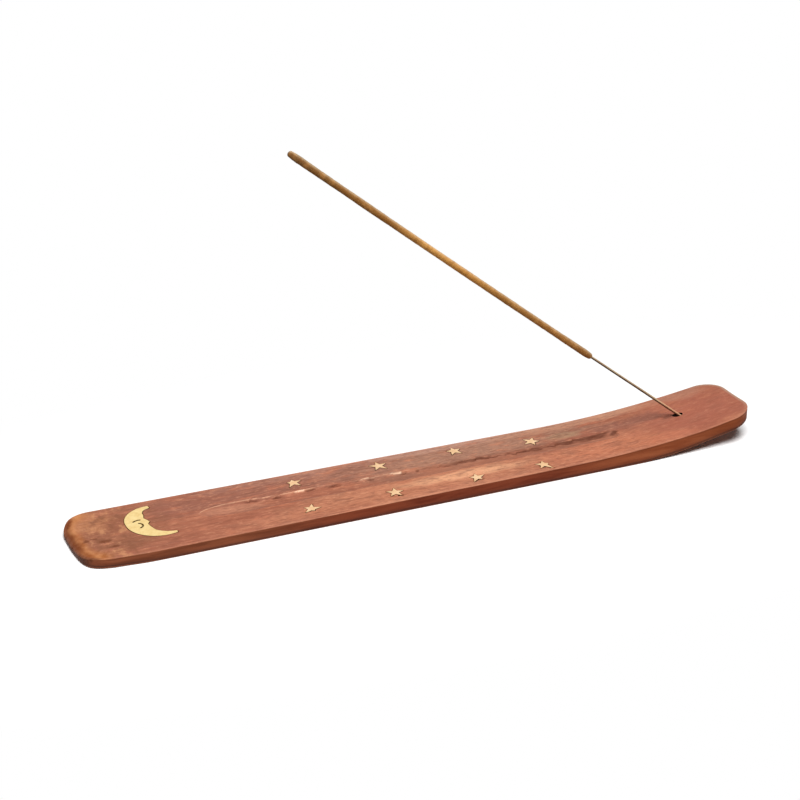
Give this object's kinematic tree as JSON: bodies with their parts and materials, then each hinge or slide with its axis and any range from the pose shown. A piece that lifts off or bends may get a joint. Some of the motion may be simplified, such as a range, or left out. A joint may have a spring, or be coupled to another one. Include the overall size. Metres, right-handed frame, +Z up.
{
  "type": "incense stick holder",
  "caption": "Flat wooden ash catcher with a turned-up tip, a long ash groove, brass moon and star inlays, and an incense stick that lifts out of a slanted hole.",
  "frame": {"origin": "on the table under the middle of the board", "axes": "+X along the board towards the turned-up tip and the stick hole, +Z up, -Y towards the side that the picture shows"},
  "size_m": [0.254, 0.036, 0.1276],
  "materials": {
    "board_wood": "reddish hardwood, waxed and hand sanded, with open grain",
    "brass_inlay": "sheet brass, sanded flush with the wood",
    "bamboo": "split bamboo, unfinished",
    "incense_paste": "dry rolled paste of wood powder, matt and granular"
  },
  "bodies": {
    "holder": {"board": "board_wood", "crescent_moon_inlay": "brass_inlay", "star_inlay_far_1": "brass_inlay", "star_inlay_far_2": "brass_inlay", "star_inlay_far_3": "brass_inlay", "star_inlay_far_4": "brass_inlay", "star_inlay_near_1": "brass_inlay", "star_inlay_near_2": "brass_inlay", "star_inlay_near_3": "brass_inlay", "star_inlay_near_4": "brass_inlay"},
    "incense_stick": {"bamboo_core": "bamboo", "incense_paste": "incense_paste"}
  },
  "joints": [
    {"name": "stick_lift", "type": "slide", "parent": "holder", "child": "incense_stick", "axis": [-0.7848, 0, 0.6198], "range_m": [0, 0.012]}
  ]
}
